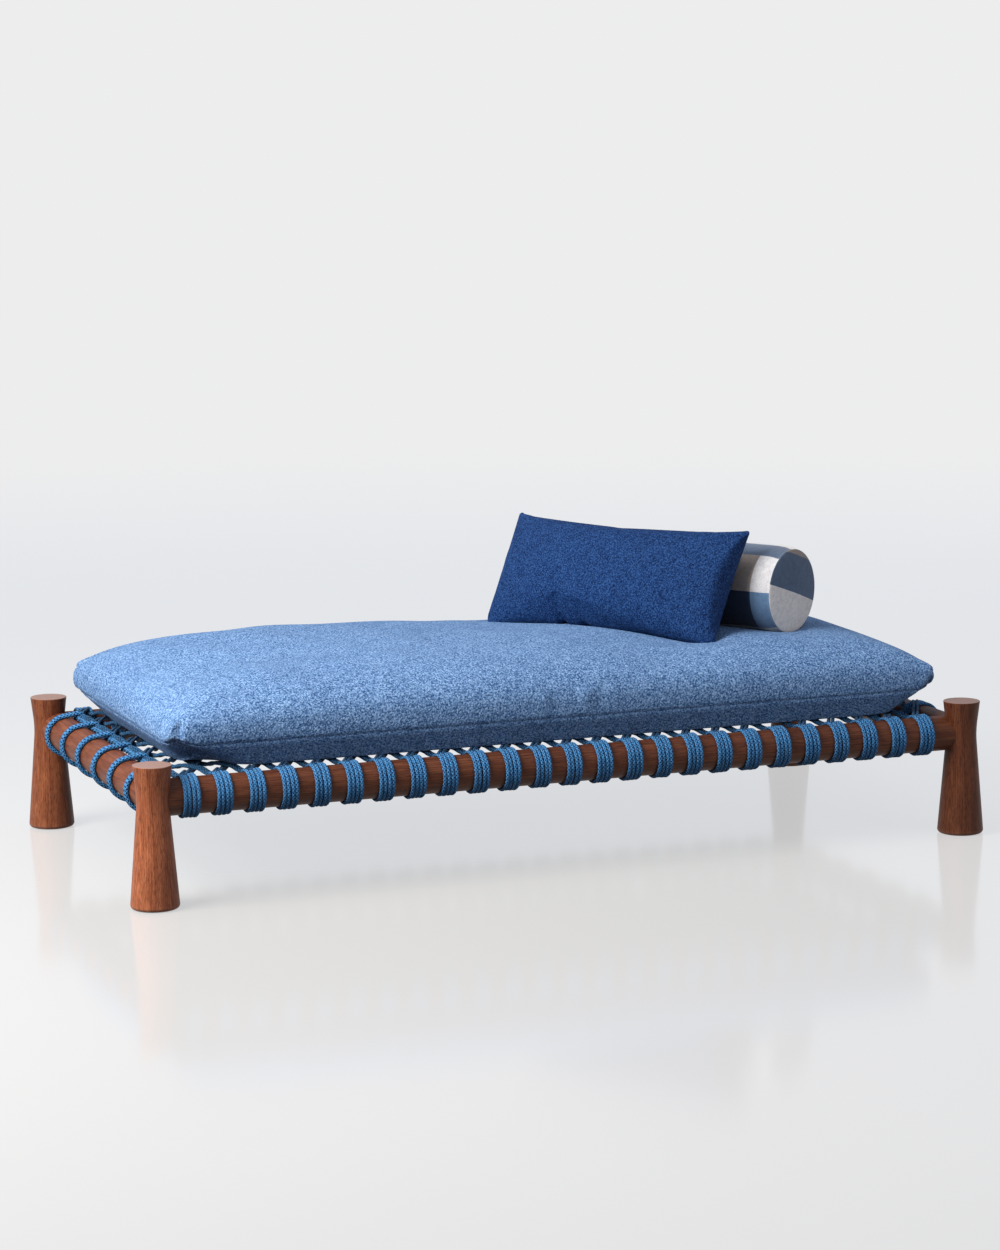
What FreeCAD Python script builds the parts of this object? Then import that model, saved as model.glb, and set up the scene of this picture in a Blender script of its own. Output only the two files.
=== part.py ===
"""Daybed: four turned legs, four round rails, a diagonal rope web, and loose soft goods.

Millimetres, +Z up. The origin is on the floor at the centre of the leg rectangle.
The head end, where the bolster and pillow lie, is at +X and the front is at -Y.
"""
import FreeCAD, Part
import math
import os

V = FreeCAD.Vector
UP = V(0, 0, 1)

# --- legs -----------------------------------------------------------------------------------
LEG_SPACING_X = 1896.0
LEG_SPACING_Y = 896.0
LEG_HEIGHT = 305.0
LEG_TOP_RADIUS = 41.5
LEG_BASE_RADIUS = 52.0
LEG_NECK_RADIUS = 33.2
LEG_NECK_HEIGHT = 235.0
LEG_NECK_BLEND = 250.0
LEG_FOOT_ROUND = 8.0
LEG_FOOT_STRAIGHT = 0.2
LEG_TOP_ROUND = 1.5
GLIDE_RADIUS = 30.0
GLIDE_THICKNESS = 5.0
GLIDE_PROUD = 1.0

# --- rails and their joints -----------------------------------------------------------------
RAIL_RADIUS = 39.5
RAIL_HEIGHT = 230.5
RAIL_INSET = 16.0
TENON_RADIUS = 15.0
JOINT_GAP = 0.3
TENON_GAP = 0.2
MITRE_GAP = 0.3
MORTISE_OVERRUN = 1.0

# --- corner bolts ---------------------------------------------------------------------------
BOLT_RADIUS = 4.0
BOLT_HEAD_RADIUS = 7.5
BOLT_HEAD_HEIGHT = 7.0
BOLT_SEAT = 64.0
BOLT_DEPTH_PAST_AXIS = 12.0
BOLT_SOCKET_RADIUS = 3.5
BOLT_SOCKET_DEPTH = 4.0
BOLT_GAP = 0.3
COUNTERBORE_GAP = 1.0

# --- rope -----------------------------------------------------------------------------------
ROPE_DIAMETER = 8.0
STRAND_WIDTH = 9.0
STRAND_THICKNESS = 7.0
STRANDS_PER_BAND = 4
STRANDS_PER_PAIR = 2
BAND_COUNT = 25
FOOT_END_PITCHES = 0.377
HEAD_END_PITCHES = 0.937
WEAVE_STEP = 6
HEAD_BAND_COUNT = 5
FOOT_LOOP_COUNT = 6
END_CORD_RADIUS = 7.0
END_CORD_OFFSET = 28.0
END_CORD_OVERRUN = 22.0
ROPE_GAP = 0.3

# --- soft goods -----------------------------------------------------------------------------
MATTRESS_END_INSET = 48.0
MATTRESS_SIDE_INSET = 25.0
MATTRESS_THICKNESS = 182.0
MATTRESS_CORNER_RADIUS = 100.0
MATTRESS_EDGE_RADIUS = 72.0
MATTRESS_SHIFT_X = 14.0
MATTRESS_SHIFT_Y = 8.0
BOLSTER_LENGTH = 560.0
BOLSTER_RADIUS = 103.0
BOLSTER_END_ROUND = 16.0
BOLSTER_SINK = 33.0
BOLSTER_NEAR_END_X = 677.0
BOLSTER_NEAR_END_Y = -133.0
BOLSTER_HEADING = -58.5
PILLOW_LENGTH = 630.0
PILLOW_HEIGHT = 288.0
PILLOW_THICKNESS = 128.0
PILLOW_CORNER_RADIUS = 60.0
PILLOW_EDGE_RADIUS = 58.0
PILLOW_LEAN = 30.4
PILLOW_SINK = 41.0
PILLOW_SHIFT = -100.0
COVER_THICKNESS = 1.5
SOFT_GAP = 0.3

# --- modelling ------------------------------------------------------------------------------
LEVEL_TOLERANCE = 0.01

# --- worked out from the above --------------------------------------------------------------
LEG_X = LEG_SPACING_X / 2
LEG_Y = LEG_SPACING_Y / 2
RAIL_X = LEG_X - RAIL_INSET
RAIL_Y = LEG_Y - RAIL_INSET
BAND_INNER_RADIUS = RAIL_RADIUS + ROPE_GAP
BAND_OUTER_RADIUS = BAND_INNER_RADIUS + STRAND_THICKNESS
WEB_UPPER = RAIL_HEIGHT + BAND_INNER_RADIUS + ROPE_DIAMETER / 2
WEB_LOWER = WEB_UPPER - ROPE_DIAMETER - ROPE_GAP
WEB_TOP = WEB_UPPER + ROPE_DIAMETER / 2
FOOT_EDGE = -RAIL_X + END_CORD_OFFSET + END_CORD_RADIUS
HEAD_EDGE = RAIL_X - math.sqrt(BAND_OUTER_RADIUS ** 2 - (WEB_UPPER - RAIL_HEIGHT) ** 2)
PITCHES = BAND_COUNT - 1 + FOOT_END_PITCHES + HEAD_END_PITCHES
BAND_PITCH = (HEAD_EDGE - FOOT_EDGE) / PITCHES
MATTRESS_LENGTH = LEG_SPACING_X - 2 * MATTRESS_END_INSET
MATTRESS_WIDTH = LEG_SPACING_Y - 2 * MATTRESS_SIDE_INSET
MATTRESS_BOTTOM = WEB_TOP + SOFT_GAP
MATTRESS_TOP = MATTRESS_BOTTOM + MATTRESS_THICKNESS
HALF_PAIR = STRAND_WIDTH * STRANDS_PER_PAIR / 2
CORNERS = {
    "front_left": (-1, -1),
    "front_right": (1, -1),
    "back_left": (-1, 1),
    "back_right": (1, 1),
}


def export(name, shapes):
    """Write one node from a shape or a list of separate solids."""
    solids = shapes if isinstance(shapes, list) else [shapes]
    shape = solids[0] if len(solids) == 1 else Part.makeCompound(solids)
    shape.exportStep("parts/" + name + ".step")


def bar(start, end, radius):
    """A round bar between two points."""
    run = end - start
    return Part.makeCylinder(radius, run.Length, start, run)


def mirrored(shape, sign_x, sign_y):
    """A copy of a shape, mirrored in X where sign_x is negative and in Y where sign_y is."""
    if sign_x < 0:
        shape = shape.mirror(V(0, 0, 0), V(1, 0, 0))
    if sign_y < 0:
        shape = shape.mirror(V(0, 0, 0), V(0, 1, 0))
    return shape


# --- legs -----------------------------------------------------------------------------------
def leg_blank(grow):
    """The turned outline of a leg on the Z axis, larger all round by grow."""
    base = V(LEG_BASE_RADIUS + grow, 0, GLIDE_PROUD + LEG_FOOT_ROUND + LEG_FOOT_STRAIGHT)
    neck = V(LEG_NECK_RADIUS + grow, 0, LEG_NECK_HEIGHT)
    top = V(LEG_TOP_RADIUS + grow, 0, LEG_HEIGHT)
    below = (base - neck).normalize()
    above = (top - neck).normalize()
    half_turn = (math.pi - below.getAngle(above)) / 2
    reach = LEG_NECK_BLEND * math.tan(half_turn)
    sagitta = LEG_NECK_BLEND * (1 / math.cos(half_turn) - 1)
    outward = (below + above).normalize()
    blend_start = neck + below * reach
    blend_end = neck + above * reach
    foot = V(LEG_BASE_RADIUS + grow, 0, GLIDE_PROUD)
    outline = [
        Part.makeLine(V(0, 0, GLIDE_PROUD), foot),
        Part.makeLine(foot, base),
        Part.makeLine(base, blend_start),
        Part.Arc(blend_start, neck + outward * sagitta, blend_end).toShape(),
        Part.makeLine(blend_end, top),
        Part.makeLine(top, V(0, 0, LEG_HEIGHT)),
        Part.makeLine(V(0, 0, LEG_HEIGHT), V(0, 0, GLIDE_PROUD)),
    ]
    return Part.Face(Part.Wire(outline)).revolve(V(0, 0, 0), UP, 360)


def rims_at(shape, height):
    """The round edges of a turned shape that lie at a height."""
    rims = [e for e in shape.Edges if isinstance(e.Curve, Part.Circle)]
    return [e for e in rims if abs(e.Curve.Center.z - height) < LEVEL_TOLERANCE]


def rounded_leg():
    """The leg blank with its foot and top edges rounded."""
    leg = leg_blank(0)
    leg = leg.makeFillet(LEG_FOOT_ROUND, rims_at(leg, GLIDE_PROUD))
    return leg.makeFillet(LEG_TOP_ROUND, rims_at(leg, LEG_HEIGHT))


def corner_bolt_axis():
    """Unit vector from a leg's axis into the bed, at 45 degrees to the rails, at the -X -Y corner."""
    return V(1, 1, 0).normalize()


def make_leg(sign_x, sign_y):
    """One leg with its two mortises, its bolt hole and the recess for its glide."""
    leg = rounded_leg()
    reach = LEG_BASE_RADIUS * 2
    for along, side in ((V(1, 0, 0), V(0, 1, 0)), (V(0, 1, 0), V(1, 0, 0))):
        start = side * RAIL_INSET - along * MORTISE_OVERRUN + UP * RAIL_HEIGHT
        leg = leg.cut(bar(start, start + along * reach, TENON_RADIUS + TENON_GAP))
    inward = corner_bolt_axis()
    bottom = UP * RAIL_HEIGHT - inward * (BOLT_DEPTH_PAST_AXIS + BOLT_GAP)
    leg = leg.cut(bar(bottom, bottom + inward * reach, BOLT_RADIUS + BOLT_GAP))
    recess = Part.makeCylinder(GLIDE_RADIUS + BOLT_GAP, GLIDE_THICKNESS)
    leg = leg.cut(recess)
    leg = mirrored(leg, -sign_x, -sign_y)
    leg.translate(V(sign_x * LEG_X, sign_y * LEG_Y, 0))
    return leg


def make_glide(sign_x, sign_y):
    """The plastic disc let into the underside of a leg."""
    glide = Part.makeCylinder(GLIDE_RADIUS, GLIDE_THICKNESS)
    glide.translate(V(sign_x * LEG_X, sign_y * LEG_Y, 0))
    return glide


def make_corner_bolt(sign_x, sign_y):
    """The socket-head bolt that pulls two mitred rails into a leg."""
    inward = corner_bolt_axis()
    tip = UP * RAIL_HEIGHT - inward * BOLT_DEPTH_PAST_AXIS
    seat = UP * RAIL_HEIGHT + inward * BOLT_SEAT
    crown = seat + inward * BOLT_HEAD_HEIGHT
    bolt = bar(tip, seat, BOLT_RADIUS).fuse(bar(seat, crown, BOLT_HEAD_RADIUS))
    bolt = bolt.cut(bar(crown - inward * BOLT_SOCKET_DEPTH, crown + inward, BOLT_SOCKET_RADIUS))
    bolt = mirrored(bolt, -sign_x, -sign_y)
    bolt.translate(V(sign_x * LEG_X, sign_y * LEG_Y, 0))
    return bolt


# --- rails ----------------------------------------------------------------------------------
def end_tools(along, side):
    """Cutters for one rail end, about the leg's axis, for a rail that runs away along `along`."""
    size = LEG_BASE_RADIUS * 4
    gap = MITRE_GAP / math.sqrt(2)
    wedge = Part.makePolygon([
        along * (gap - size) - side * size,
        along * (gap + size) + side * size,
        along * (gap - size) + side * size,
        along * (gap - size) - side * size,
    ])
    mitre = Part.Face(wedge).extrude(UP * LEG_HEIGHT)
    inward = corner_bolt_axis()
    start = UP * RAIL_HEIGHT - inward * BOLT_DEPTH_PAST_AXIS
    hole = bar(start, start + inward * size, BOLT_RADIUS + BOLT_GAP)
    seat = UP * RAIL_HEIGHT + inward * BOLT_SEAT
    counterbore = bar(seat, seat + inward * size, BOLT_HEAD_RADIUS + COUNTERBORE_GAP)
    return [mitre, hole, counterbore]


def make_rail(length, along, side):
    """A rail with coped, mitred and tenoned ends, between leg axes at 0 and `length`."""
    centre = side * RAIL_INSET + UP * RAIL_HEIGHT
    rail = bar(centre, centre + along * length, RAIL_RADIUS)
    tenon = bar(centre, centre + along * length, TENON_RADIUS)
    far_corner = along * length
    for place in (V(0, 0, 0), far_corner):
        cope = leg_blank(JOINT_GAP)
        cope.translate(place)
        rail = rail.cut(cope)
    rail = rail.fuse(tenon).removeSplitter()
    for cutter in end_tools(along, side):
        rail = rail.cut(cutter)
        opposite = cutter.mirror(far_corner / 2, along)
        rail = rail.cut(opposite)
    return rail


def make_long_rail(sign_y):
    """The front (-1) or back (+1) rail."""
    rail = make_rail(LEG_SPACING_X, V(1, 0, 0), V(0, 1, 0))
    rail.translate(V(-LEG_X, -LEG_Y, 0))
    return mirrored(rail, 1, -sign_y)


def make_short_rail(sign_x):
    """The foot (-1) or head (+1) rail."""
    rail = make_rail(LEG_SPACING_Y, V(0, 1, 0), V(1, 0, 0))
    rail.translate(V(-LEG_X, -LEG_Y, 0))
    return mirrored(rail, -sign_x, 1)


# --- rope -----------------------------------------------------------------------------------
def band_x(index):
    """Place of a band along the long rails."""
    return FOOT_EDGE + (FOOT_END_PITCHES + index) * BAND_PITCH


def rope_band(strands):
    """A band of strands laid side by side round a rail that runs along X."""
    half_width = strands * STRAND_WIDTH / 2
    shoulder = BAND_INNER_RADIUS + STRAND_THICKNESS / 2
    edges = [
        Part.makeLine(V(half_width, 0, shoulder), V(half_width, 0, BAND_INNER_RADIUS)),
        Part.makeLine(V(half_width, 0, BAND_INNER_RADIUS), V(-half_width, 0, BAND_INNER_RADIUS)),
        Part.makeLine(V(-half_width, 0, BAND_INNER_RADIUS), V(-half_width, 0, shoulder)),
    ]
    for strand in range(strands):
        left = -half_width + strand * STRAND_WIDTH
        middle = left + STRAND_WIDTH / 2
        right = left + STRAND_WIDTH
        crown = V(middle, 0, BAND_OUTER_RADIUS)
        edges.append(Part.Arc(V(left, 0, shoulder), crown, V(right, 0, shoulder)).toShape())
    return Part.Face(Part.Wire(edges)).revolve(V(0, 0, 0), V(1, 0, 0), 360)


def long_rail_bands(sign_y):
    """The bands on the front or back rail."""
    bands = []
    for index in range(BAND_COUNT):
        band = rope_band(STRANDS_PER_BAND)
        band.translate(V(band_x(index), sign_y * RAIL_Y, RAIL_HEIGHT))
        bands.append(band)
    return bands


def weave_slope():
    """Run across the bed for each unit along it, of a pair that crosses to the far rail."""
    return 2 * RAIL_Y / (WEAVE_STEP * BAND_PITCH + 2 * HALF_PAIR)


def head_band_y(number):
    """Place along the head rail where the pair from the last bands and its mirror image meet."""
    index = BAND_COUNT - 1 - number
    near = -RAIL_Y + weave_slope() * (HEAD_EDGE - band_x(index) + HALF_PAIR)
    far_index = BAND_COUNT - HEAD_BAND_COUNT + number
    far = RAIL_Y - weave_slope() * (HEAD_EDGE - band_x(far_index) + HALF_PAIR)
    return (near + far) / 2


def head_rail_bands():
    """The bands on the head rail."""
    bands = []
    for number in range(HEAD_BAND_COUNT):
        band = rope_band(STRANDS_PER_BAND).rotate(V(0, 0, 0), UP, 90)
        band.translate(V(RAIL_X, head_band_y(number), RAIL_HEIGHT))
        bands.append(band)
    return bands


def foot_loop_y(number):
    """Place along the foot rail where two pairs of the web meet the end cord."""
    near = -RAIL_Y + weave_slope() * (band_x(number) + HALF_PAIR - FOOT_EDGE)
    far_index = FOOT_LOOP_COUNT - 1 - number
    far = RAIL_Y - weave_slope() * (band_x(far_index) + HALF_PAIR - FOOT_EDGE)
    return (near + far) / 2


def end_cord_centre():
    """Centre of the end cord in the section of the foot rail, from the rail's axis."""
    distance = BAND_INNER_RADIUS + END_CORD_RADIUS
    return V(END_CORD_OFFSET, 0, math.sqrt(distance ** 2 - END_CORD_OFFSET ** 2))


def belt_outline(big_radius, small_radius):
    """Closed outline of a belt round the rail and the end cord, in the XZ plane."""
    cord = end_cord_centre()
    distance = cord.Length
    heading = math.atan2(cord.z, cord.x)
    lean = math.acos((big_radius - small_radius) / distance)

    def on(centre, radius, angle):
        return centre + V(math.cos(angle), 0, math.sin(angle)) * radius

    rail = V(0, 0, 0)
    first = heading + lean
    last = heading - lean
    big_arc = Part.Arc(
        on(rail, big_radius, first),
        on(rail, big_radius, heading + math.pi),
        on(rail, big_radius, last),
    )
    small_arc = Part.Arc(
        on(cord, small_radius, last),
        on(cord, small_radius, heading),
        on(cord, small_radius, first),
    )
    edges = [
        big_arc.toShape(),
        Part.makeLine(on(rail, big_radius, last), on(cord, small_radius, last)),
        small_arc.toShape(),
        Part.makeLine(on(cord, small_radius, first), on(rail, big_radius, first)),
    ]
    return Part.Wire(edges)


def loop_blank(grow):
    """A foot loop as if it were solid, larger all round by grow, centred on Y."""
    small_radius = END_CORD_RADIUS + ROPE_GAP + STRAND_THICKNESS + grow
    outline = Part.Face(belt_outline(BAND_OUTER_RADIUS + grow, small_radius))
    width = 2 * (HALF_PAIR + grow)
    blank = outline.extrude(V(0, width, 0))
    blank.translate(V(0, -width / 2, 0))
    return blank


def foot_loops():
    """Pairs of strands that tie the end cord to the foot rail."""
    inner = Part.Face(belt_outline(BAND_INNER_RADIUS, END_CORD_RADIUS + ROPE_GAP))
    size = LEG_SPACING_Y
    opening = inner.extrude(V(0, size, 0))
    opening.translate(V(0, -size / 2, 0))
    groove = Part.makeBox(size, ROPE_GAP, size, V(-size / 2, -ROPE_GAP / 2, -size / 2))
    pair = loop_blank(0).cut([opening, groove]).Solids
    loops = []
    for number in range(FOOT_LOOP_COUNT):
        for strand in pair:
            loop = strand.copy()
            loop.translate(V(-RAIL_X, foot_loop_y(number), RAIL_HEIGHT))
            loops.append(loop)
    return loops


def end_cord():
    """The cord along the foot rail, from the first loop to the last."""
    centre = end_cord_centre() + V(-RAIL_X, 0, RAIL_HEIGHT)
    start = V(centre.x, foot_loop_y(0) - END_CORD_OVERRUN, centre.z)
    end = V(centre.x, foot_loop_y(FOOT_LOOP_COUNT - 1) + END_CORD_OVERRUN, centre.z)
    return bar(start, end, END_CORD_RADIUS)


def web_trimmers():
    """What the web's strands butt against: bands on three rails, the end cord and its loops."""
    radius = BAND_OUTER_RADIUS + ROPE_GAP
    tools = []
    for sign_y in (-1, 1):
        start = V(-LEG_X, sign_y * RAIL_Y, RAIL_HEIGHT)
        tools.append(bar(start, start + V(LEG_SPACING_X, 0, 0), radius))
    start = V(RAIL_X, -LEG_Y, RAIL_HEIGHT)
    tools.append(bar(start, start + V(0, LEG_SPACING_Y, 0), radius))
    start = end_cord_centre() + V(-RAIL_X, -LEG_Y, RAIL_HEIGHT)
    tools.append(bar(start, start + V(0, LEG_SPACING_Y, 0), END_CORD_RADIUS + ROPE_GAP))
    for number in range(FOOT_LOOP_COUNT):
        loop = loop_blank(ROPE_GAP)
        loop.translate(V(-RAIL_X, foot_loop_y(number), RAIL_HEIGHT))
        tools.append(loop)
    return tools


def web_pairs():
    """Centre lines of the pairs that run towards the head as they cross from front to back."""
    slope = weave_slope()
    lines = []
    for index in range(BAND_COUNT):
        start_x = band_x(index) - HALF_PAIR
        if index + WEAVE_STEP < BAND_COUNT:
            end_x = band_x(index + WEAVE_STEP) + HALF_PAIR
            lines.append((V(start_x, -RAIL_Y, 0), V(end_x, RAIL_Y, 0)))
        elif index >= BAND_COUNT - HEAD_BAND_COUNT:
            reach = RAIL_X - start_x
            lines.append((V(start_x, -RAIL_Y, 0), V(RAIL_X, -RAIL_Y + slope * reach, 0)))
    for index in range(FOOT_LOOP_COUNT):
        end_x = band_x(index) + HALF_PAIR
        start_x = FOOT_EDGE - END_CORD_RADIUS
        lines.append((V(start_x, RAIL_Y - slope * (end_x - start_x), 0), V(end_x, RAIL_Y, 0)))
    return lines


def web_layer(sign_y, level):
    """One layer of the web: both strands of every pair, each trimmed at what it meets."""
    trimmers = web_trimmers()
    strands = []
    for start, end in web_pairs():
        along = (end - start).normalize()
        across = UP.cross(along)
        for side in (-1, 1):
            offset = across * (side * STRAND_WIDTH / 2) + UP * level
            strand = bar(start + offset, end + offset, ROPE_DIAMETER / 2)
            pieces = strand.cut(trimmers).Solids
            longest = max(pieces, key=lambda piece: piece.Volume)
            strands.append(mirrored(longest, 1, -sign_y))
    return strands


# --- soft goods -----------------------------------------------------------------------------
def rounded_block(length, width, height, corner_radius, edge_radius):
    """A box about the origin with rounded corners and edges."""
    block = Part.makeBox(length, width, height, V(-length / 2, -width / 2, -height / 2))
    upright = [e for e in block.Edges if e.BoundBox.ZLength > height / 2]
    block = block.makeFillet(corner_radius, upright)
    rims = [e for e in block.Edges if e.BoundBox.ZLength < height / 2]
    return block.makeFillet(edge_radius, rims)


def bolster_blank(grow):
    """The bolster at its place, larger all round by grow."""
    length = BOLSTER_LENGTH + 2 * grow
    radius = BOLSTER_RADIUS + grow
    blank = Part.makeCylinder(radius, length, V(-BOLSTER_LENGTH - grow, 0, 0), V(1, 0, 0))
    blank = blank.makeFillet(BOLSTER_END_ROUND + grow, [e for e in blank.Edges if e.Closed])
    height = MATTRESS_TOP - BOLSTER_SINK + BOLSTER_RADIUS
    turn = FreeCAD.Rotation(UP, BOLSTER_HEADING)
    place = V(BOLSTER_NEAR_END_X, BOLSTER_NEAR_END_Y, height)
    blank.Placement = FreeCAD.Placement(place, turn).multiply(blank.Placement)
    return blank


def pillow_placement():
    """Place of the pillow, whose back lies on the bolster and whose lower edge is on the mattress."""
    heading = FreeCAD.Rotation(UP, BOLSTER_HEADING)
    turn = heading.multiply(FreeCAD.Rotation(V(1, 0, 0), 90 - PILLOW_LEAN))
    away = turn.multVec(V(0, 0, 1))
    up_slope = turn.multVec(V(0, 1, 0))
    along = heading.multVec(V(1, 0, 0))
    height = MATTRESS_TOP - BOLSTER_SINK + BOLSTER_RADIUS
    near_end = V(BOLSTER_NEAR_END_X, BOLSTER_NEAR_END_Y, height)
    middle = near_end - along * (BOLSTER_LENGTH / 2) + along * PILLOW_SHIFT
    middle = middle + away * (BOLSTER_RADIUS + PILLOW_THICKNESS / 2 + SOFT_GAP)
    straight = PILLOW_HEIGHT / 2 - PILLOW_EDGE_RADIUS
    flat = PILLOW_THICKNESS / 2 - PILLOW_EDGE_RADIUS
    lowest = straight * up_slope.z + flat * away.z + PILLOW_EDGE_RADIUS
    wanted = MATTRESS_TOP - PILLOW_SINK + lowest
    middle = middle + up_slope * ((wanted - middle.z) / up_slope.z)
    return FreeCAD.Placement(middle, turn)


def pillow_blank(grow):
    """The pillow at its place, larger all round by grow."""
    blank = rounded_block(
        PILLOW_LENGTH + 2 * grow,
        PILLOW_HEIGHT + 2 * grow,
        PILLOW_THICKNESS + 2 * grow,
        PILLOW_CORNER_RADIUS + grow,
        PILLOW_EDGE_RADIUS + grow,
    )
    blank.Placement = pillow_placement()
    return blank


def mattress_blank(grow):
    """The mattress at its place, with the dents that the pillow and bolster press into it."""
    blank = rounded_block(
        MATTRESS_LENGTH + 2 * grow,
        MATTRESS_WIDTH + 2 * grow,
        MATTRESS_THICKNESS + 2 * grow,
        MATTRESS_CORNER_RADIUS + grow,
        MATTRESS_EDGE_RADIUS + grow,
    )
    blank.translate(V(MATTRESS_SHIFT_X, MATTRESS_SHIFT_Y, (MATTRESS_BOTTOM + MATTRESS_TOP) / 2))
    for dent in (pillow_blank(SOFT_GAP - grow), bolster_blank(SOFT_GAP - grow)):
        blank = blank.cut(dent)
    return blank


def cover_and_filling(blank):
    """The shell of a cover, and the filling inside it."""
    cover = blank(0).cut(blank(-COVER_THICKNESS))
    filling = blank(-COVER_THICKNESS - SOFT_GAP)
    return cover, filling


def main():
    os.makedirs("parts", exist_ok=True)
    bolts = []
    for corner, (sign_x, sign_y) in CORNERS.items():
        export("leg_" + corner, make_leg(sign_x, sign_y))
        export("glide_" + corner, make_glide(sign_x, sign_y))
        bolts.append(make_corner_bolt(sign_x, sign_y))
    export("corner_bolts", bolts)
    for side, sign in (("front", -1), ("back", 1)):
        export("rail_" + side, make_long_rail(sign))
        export("rope_bands_" + side, long_rail_bands(sign))
    for side, sign in (("foot", -1), ("head", 1)):
        export("rail_" + side, make_short_rail(sign))
    export("rope_bands_head", head_rail_bands())
    export("rope_loops_foot", foot_loops())
    export("rope_end_cord", end_cord())
    export("rope_web_upper", web_layer(-1, WEB_UPPER))
    export("rope_web_lower", web_layer(1, WEB_LOWER))
    soft_goods = {"mattress": mattress_blank, "pillow": pillow_blank, "bolster": bolster_blank}
    for name, blank in soft_goods.items():
        cover, filling = cover_and_filling(blank)
        export(name + "_cover", cover)
        export(name + "_filling", filling)


main()
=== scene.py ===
"""Looks of the daybed: wood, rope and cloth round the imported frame. Metres, +Z up.

The head end, where the pillow and the bolster lie, is at +X and the front is at -Y.
"""
import math

import bmesh
import bpy
import numpy as np
from mathutils import Euler, Matrix, Vector, noise
from mathutils.bvhtree import BVHTree


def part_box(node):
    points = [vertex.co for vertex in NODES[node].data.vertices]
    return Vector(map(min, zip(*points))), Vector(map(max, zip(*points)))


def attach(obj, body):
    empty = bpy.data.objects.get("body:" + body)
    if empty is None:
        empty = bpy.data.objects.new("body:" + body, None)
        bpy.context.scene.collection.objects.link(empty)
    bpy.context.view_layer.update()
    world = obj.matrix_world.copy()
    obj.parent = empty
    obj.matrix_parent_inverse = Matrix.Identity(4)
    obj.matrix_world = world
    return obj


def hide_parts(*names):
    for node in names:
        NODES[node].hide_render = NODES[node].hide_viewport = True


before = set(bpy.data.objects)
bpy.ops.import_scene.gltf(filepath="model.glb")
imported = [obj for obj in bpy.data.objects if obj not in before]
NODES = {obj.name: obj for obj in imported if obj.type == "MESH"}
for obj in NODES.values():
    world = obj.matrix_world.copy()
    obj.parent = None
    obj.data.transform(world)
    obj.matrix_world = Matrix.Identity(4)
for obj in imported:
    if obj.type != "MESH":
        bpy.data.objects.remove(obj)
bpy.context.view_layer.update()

MM = 0.001
WELD = 0.01 * MM
UP = Vector((0, 0, 1))
FULL_TURN = 2 * math.pi
CLOTH_QUALITY = 6
CLOTH_MASS = 0.3
CLOTH_BENDING = 0.6
CLOTH_DAMPING = 4

# --- camera and studio ---
CAMERA_PLACE = (-2.801, -7.288, 1.673)
CAMERA_YAW = 21.025
CAMERA_PITCH = 8.720
CAMERA_ROLL = -0.497
CAMERA_LENS = 99.65
FLOOR_RADIUS = 9.0
FLOOR_FADE = 3.5
WALL_COLOUR = (0.845, 0.847, 0.85)
SKY_TINT = (0.91, 1.0, 1.16)
# Height, from straight down (0) to straight up (1), and how light the sky is there.
SKY_STOPS = ((0.30, 0.05), (0.48, 0.12), (0.54, 0.43), (1.0, 0.53))
FLOOR_COLOUR = (0.148, 0.138, 0.126)
FLOOR_GLOW = 0.64
FLOOR_ROUGHNESS = 0.12
# Name, place, point it is aimed at, side, watts and colour of each square lamp.
LAMPS = (
    ("key", (-3.4, -1.0, 2.6), (0.0, 0.0, 0.4), 2.0, 280, (1.0, 0.985, 0.95)),
    ("top", (-1.3, 0.4, 3.4), (0.0, 0.0, 0.3), 2.2, 38, (1, 1, 1)),
    ("fill", (3.2, -4.4, 1.3), (0.5, 0.0, 0.5), 2.0, 36, (1, 1, 1)),
)

# --- timber ---
LEG_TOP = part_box("leg_front_left")[1].z
# The way the grain of each piece runs, and how light its timber is painted: painted light and shade,
# lighter for pieces the key lamp lights and darker for pieces in shade.
GRAIN_AND_PAINTED_LIGHT = {
    "leg_front_left": ("z", 1.32),
    "leg_back_left": ("z", 0.92),
    "leg_front_right": ("z", 0.52),
    "leg_back_right": ("z", 0.62),
    "rail_front": ("x", 0.50),
    "rail_back": ("x", 0.50),
    "rail_foot": ("y", 0.74),
    "rail_head": ("y", 0.50),
}
TIMBER_TONES = (
    (0.22, (0.100, 0.026, 0.011)),
    (0.46, (0.195, 0.058, 0.025)),
    (0.74, (0.330, 0.115, 0.052)),
)
PITH_OFFSET = (55 * MM, 30 * MM)
RING_DRIFT = 28 * MM
RING_WAVES = 1500.0
GRAIN_STRETCH = 0.10
PORE_STRETCH = 0.035
END_GRAIN_DEPTH = 1.2 * MM
END_GRAIN_BLEND = 1.0 * MM
FOOT_WEAR_FROM = 14 * MM
FOOT_WEAR_TO = 2 * MM

# --- rope ---
STRAND_WIDTH = 9 * MM
STRAND_THICKNESS = 7 * MM
ROPE_DIAMETER = 8 * MM
STRAND_STEP = 4.6 * MM
RING_STEPS = 72
RING_SIDES = 10
WEB_SIDES = 9
ROPE_GAP = 0.3 * MM
BAND_SQUEEZE = 0.35 * MM
BAND_SPLIT = 0.55 * MM
BAND_WANDER = 0.7 * MM
BAND_LIFT = 0.5 * MM
BAND_SLACK = 0.4 * MM
LOOP_THICKNESS = 10 * MM
LOOP_SLANT = 3 * MM
LOOP_SLACK = 0.3 * MM
LOOP_SEED = 100
RAIL_SHARE = 0.7
WEAVE_SHARPNESS = 2.4
WEB_REACH = 3 * MM
LEAST_STEPS = 8
CORD_STEP = 3 * MM
CORD_TWIST = 42 * MM
ROPE_TONES = (
    (0.22, (0.002, 0.010, 0.036)),
    (0.44, (0.016, 0.090, 0.235)),
    (0.72, (0.076, 0.255, 0.500)),
)

# --- mattress ---
SEAM_HEIGHT = 55 * MM
MATTRESS_CROWN = 9 * MM
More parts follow.
